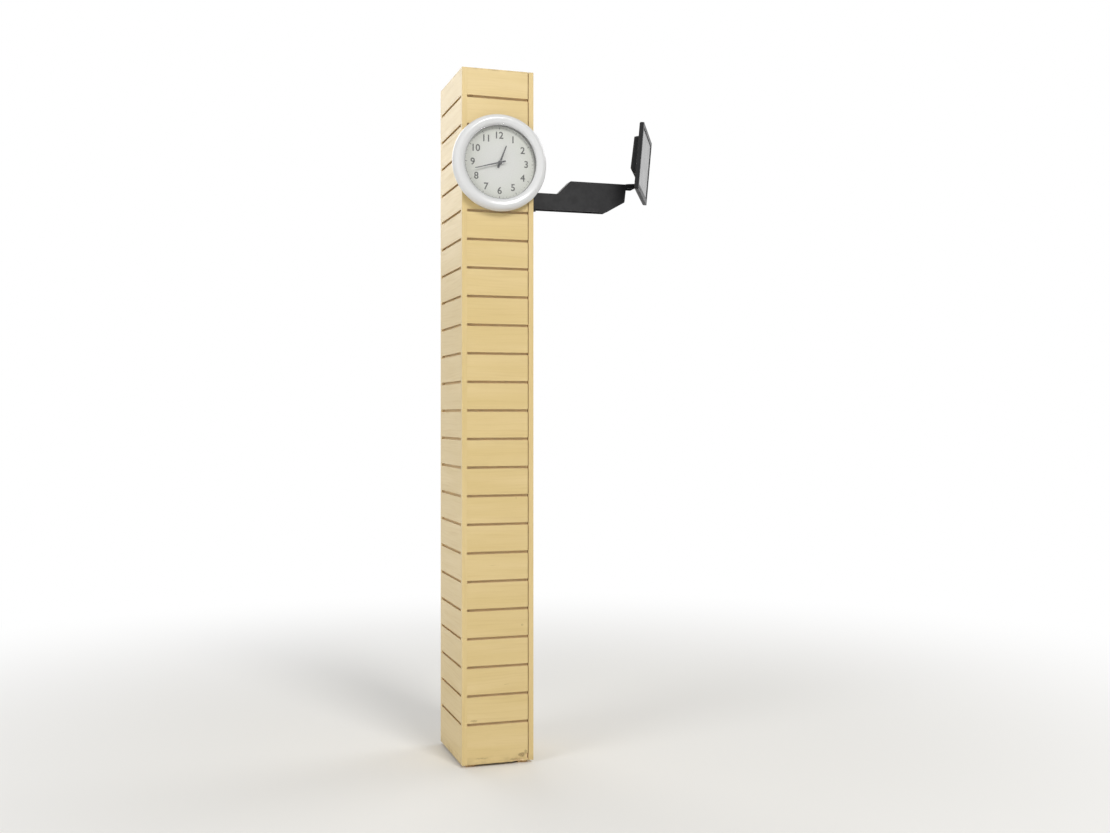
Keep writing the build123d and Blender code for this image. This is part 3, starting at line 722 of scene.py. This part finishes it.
for name, build in (("dial_numerals", numerals), ("dial_ticks", ticks)):
    add_piece(name, mesh_from(name, build), materials["dial_print"], "column")


# Small turned and pressed pieces

def millimetres(*points):
    """Points of a profile, given in millimetres."""
    return [(radius * MM, height * MM) for radius, height in points]


# Thickness of the wall plate and radius of a screw's head
WALL_PLATE = 4 * MM
SCREW_HEAD = 5 * MM
SCREW_PROFILE = millimetres((3.0, 3.0), (3.8, 2.85), (4.5, 2.3), (4.9, 1.5), (5.0, 0.6),
                            (5.0, 0.0), (2.5, 0.0), (2.5, -17.0), (0.0, -20.0))
SCREW_SEGMENTS = 32

# Each screw stops at an angle of its own, in radians for a metre across and up
SCREW_TURN_ACROSS = 5.0
SCREW_TURN_UP = 17.0

# The crossed recess in a screw's head, and the cap on the minute hand
RECESS_WIDTH = 1.2 * MM
RECESS_REACH = 2.4 * MM
RECESS_DEPTH = 1.9 * MM
RECESS_TAPER = 0.55
HUB_CAP_PROFILE = millimetres((0.0, 2.2), (1.5, 2.05), (2.8, 1.7), (3.9, 1.1), (4.4, 0.5),
                              (4.5, 0.0), (0.0, 0.0))
HUB_CAP_SEGMENTS = 40


def revolve(shape, place, profile, segments):
    """Sweeps (radius, height) points round the place's Z axis and returns the first ring."""
    rings = []
    for radius, height in profile:
        if radius == 0:
            rings.append([shape.verts.new(place @ Vector((0, 0, height)))])
            continue
        ring = []
        for i in range(segments):
            angle = math.tau * i / segments
            spot = Vector((radius * math.cos(angle), radius * math.sin(angle), height))
            ring.append(shape.verts.new(place @ spot))
        rings.append(ring)
    for first, second in zip(rings, rings[1:]):
        for i in range(segments):
            j = (i + 1) % segments
            near = [first[i % len(first)], first[j % len(first)]]
            far = [second[j % len(second)], second[i % len(second)]]
            shape.faces.new(list(dict.fromkeys(near + far)))
    return rings[0]


def loop_edges(shape, ring):
    """The edges round a closed ring of vertices, found or made."""
    pairs = zip(ring, ring[1:] + ring[:1])
    return [shape.edges.get(pair) or shape.edges.new(pair) for pair in pairs]


def cross_recess(shape, place, rim, height):
    """Closes the top of a screw's head inside a rim, with a tapered cross sunk in it."""
    wide, reach = RECESS_WIDTH / 2, RECESS_REACH
    quarter = [(wide, wide), (wide, reach), (-wide, reach)]
    outline = []
    for turn in range(4):
        spin = Matrix.Rotation(math.radians(90 * turn), 2)
        outline += [spin @ Vector(point) for point in quarter]

    def ring_at(level, share):
        spots = [Vector((point.x * share, point.y * share, level)) for point in outline]
        return [shape.verts.new(place @ spot) for spot in spots]

    mouth, bottom = ring_at(height, 1.0), ring_at(height - RECESS_DEPTH, RECESS_TAPER)
    edges = loop_edges(shape, rim) + loop_edges(shape, mouth)
    bmesh.ops.triangle_fill(shape, edges=edges, use_beauty=True)
    count = len(outline)
    for i in range(count):
        j = (i + 1) % count
        shape.faces.new((mouth[i], mouth[j], bottom[j], bottom[i]))
    shape.faces.new(bottom)


def bracket_screws(shape):
    """Pan-head screws through the wall plate, in place of the plain ones."""
    low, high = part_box("bracket_screws")
    plate_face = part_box("bracket_wall_plate")[0].x + WALL_PLATE
    for y in (low.y + SCREW_HEAD, high.y - SCREW_HEAD):
        for z in (low.z + SCREW_HEAD, high.z - SCREW_HEAD):
            stopped = SCREW_TURN_UP * z + SCREW_TURN_ACROSS * y
            spin = Matrix.Rotation(math.radians(90), 4, "Y") @ Matrix.Rotation(stopped, 4, "Z")
            place = Matrix.Translation((plate_face, y, z)) @ spin
            rim = revolve(shape, place, SCREW_PROFILE, SCREW_SEGMENTS)
            cross_recess(shape, place, rim, SCREW_PROFILE[0][1])


def hub_cap(shape):
    """A small domed cap on the minute hand's hub."""
    out = CLOCK_CENTRE.copy()
    out.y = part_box("clock_minute_hand")[0].y
    place = Matrix.Translation(out) @ Matrix.Rotation(math.radians(90), 4, "X")
    revolve(shape, place, HUB_CAP_PROFILE, HUB_CAP_SEGMENTS)


screw_mesh = mesh_from("bracket_pan_screws", bracket_screws)
screws = add_piece("bracket_pan_screws", screw_mesh, materials["zinc"], "column")
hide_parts("bracket_screws")
cap_mesh = mesh_from("clock_hub_cap", hub_cap)
add_piece("clock_hub_cap", cap_mesh, materials["clock_hands"], "minute_hand")


# Floor, light and camera

WORLD_STRENGTH = 0.34
FLOOR_GREY = srgb(234, 233, 230)
FLOOR_HALF = 30.0
FLOOR_MIDDLE = Vector((0.2, 0.0, 0.0))
FLOOR_NEAR = 1.0
FLOOR_FADE = 3.2

# Each lamp's name, place, width, power, colour and whether glass and gloss show it
LAMP_TARGET = Vector((0.1, 0.0, 1.2))
LAMPS = (
    ("key", (1.5, -8.0, 7.0), 3.0, 455.0, (1.0, 0.99, 0.97), True),
    ("left", (-8.0, -4.0, 3.5), 5.0, 310.0, (1.0, 1.0, 1.0), False),
    ("back", (-1.0, 8.5, 6.5), 8.0, 250.0, (1.0, 1.0, 1.0), True),
    ("right", (8.0, 2.5, 4.0), 6.0, 220.0, (1.0, 1.0, 1.0), True),
)

# The camera stands where the photograph's did, and level as there, but it turns to the column
CAMERA_PLACE = Vector((-1.122, -4.374, 1.229))
CAMERA_LEVEL = 90.0
CAMERA_TURN = -17.6
CAMERA_LENS = 40.0

# A count of bounces off matt surfaces that is below this is none
BEFORE_FIRST_BOUNCE = 0.5


def seen_directly(tree):
    """1 for what the camera sees, straight or in gloss and glass, and 0 for light on the object."""
    def math_node(operation, a, b):
        made = tree.nodes.new("ShaderNodeMath")
        made.operation = operation
        tree.links.new(a, made.inputs[0])
        if isinstance(b, bpy.types.NodeSocket):
            tree.links.new(b, made.inputs[1])
        else:
            made.inputs[1].default_value = b
        return made.outputs[0]

    path = tree.nodes.new("ShaderNodeLightPath").outputs
    seen = math_node("MAXIMUM", path["Is Camera Ray"], path["Is Glossy Ray"])
    seen = math_node("MAXIMUM", seen, path["Is Transmission Ray"])
    not_bounced = math_node("LESS_THAN", path["Diffuse Depth"], BEFORE_FIRST_BOUNCE)
    return math_node("MULTIPLY", seen, not_bounced)


def near_point(look, place, centre, radius, soft):
    """1 close to a point, falling to 0 past a radius."""
    gap = look.vector_math("DISTANCE", place, centre, "Value")
    return look.step(gap, radius, radius + soft, start=1.0, end=0.0)


def floor():
    """A pale floor that fades to the white background away from the object."""
    mesh = bpy.data.meshes.new("floor")
    half = FLOOR_HALF
    corners = [(-half, -half, 0), (half, -half, 0), (half, half, 0), (-half, half, 0)]
    mesh.from_pydata(corners, [], [(0, 1, 2, 3)])
    piece = bpy.data.objects.new("floor", mesh)
    bpy.context.scene.collection.objects.link(piece)
    look = Look("floor", FLOOR_GREY, roughness=0.8)
    white = look.node("Emission", {"Color": WHITE})
    near = near_point(look, look.place(), FLOOR_MIDDLE, FLOOR_NEAR, FLOOR_FADE)
    far = look.times(look.minus(1.0, near), seen_directly(look.tree))
    values = {0: far, 1: look.shader.outputs[0], 2: white.outputs[0]}
    either = look.node("MixShader", values)
    look.put(look.tree.nodes["Material Output"].inputs["Surface"], either.outputs[0])
    mesh.materials.append(look.material)


def background():
    """A soft even light, which the camera, glass and metal see as white."""
    world = bpy.data.worlds.new("world")
    bpy.context.scene.world = world
    world.use_nodes = True
    tree = world.node_tree
    lit = tree.nodes["Background"]
    lit.inputs["Color"].default_value = WHITE
    lit.inputs["Strength"].default_value = WORLD_STRENGTH
    seen = tree.nodes.new("ShaderNodeBackground")
    seen.inputs["Color"].default_value = WHITE
    mixed = tree.nodes.new("ShaderNodeMixShader")
    tree.links.new(seen_directly(tree), mixed.inputs[0])
    tree.links.new(lit.outputs[0], mixed.inputs[1])
    tree.links.new(seen.outputs[0], mixed.inputs[2])
    tree.links.new(mixed.outputs[0], tree.nodes["World Output"].inputs["Surface"])


def lamp(name, place, width, power, colour, mirrored):
    """A soft round lamp aimed at the middle of the object."""
    light = bpy.data.lights.new(name, "AREA")
    light.shape = "DISK"
    light.size = width
    light.energy = power
    light.color = colour
    holder = bpy.data.objects.new(name, light)
    holder.location = place
    holder.rotation_euler = (LAMP_TARGET - Vector(place)).to_track_quat("-Z", "Y").to_euler()
    holder.visible_glossy = mirrored
    bpy.context.scene.collection.objects.link(holder)


def add_camera():
    """The camera of the main picture."""
    camera = bpy.data.cameras.new("camera")
    camera.lens = CAMERA_LENS
    viewer = bpy.data.objects.new("camera", camera)
    viewer.location = CAMERA_PLACE
    viewer.rotation_euler = (math.radians(CAMERA_LEVEL), 0, math.radians(CAMERA_TURN))
    bpy.context.scene.collection.objects.link(viewer)
    bpy.context.scene.camera = viewer


floor()
background()
for lamp_values in LAMPS:
    lamp(*lamp_values)
add_camera()
bpy.context.scene.view_settings.view_transform = "Standard"
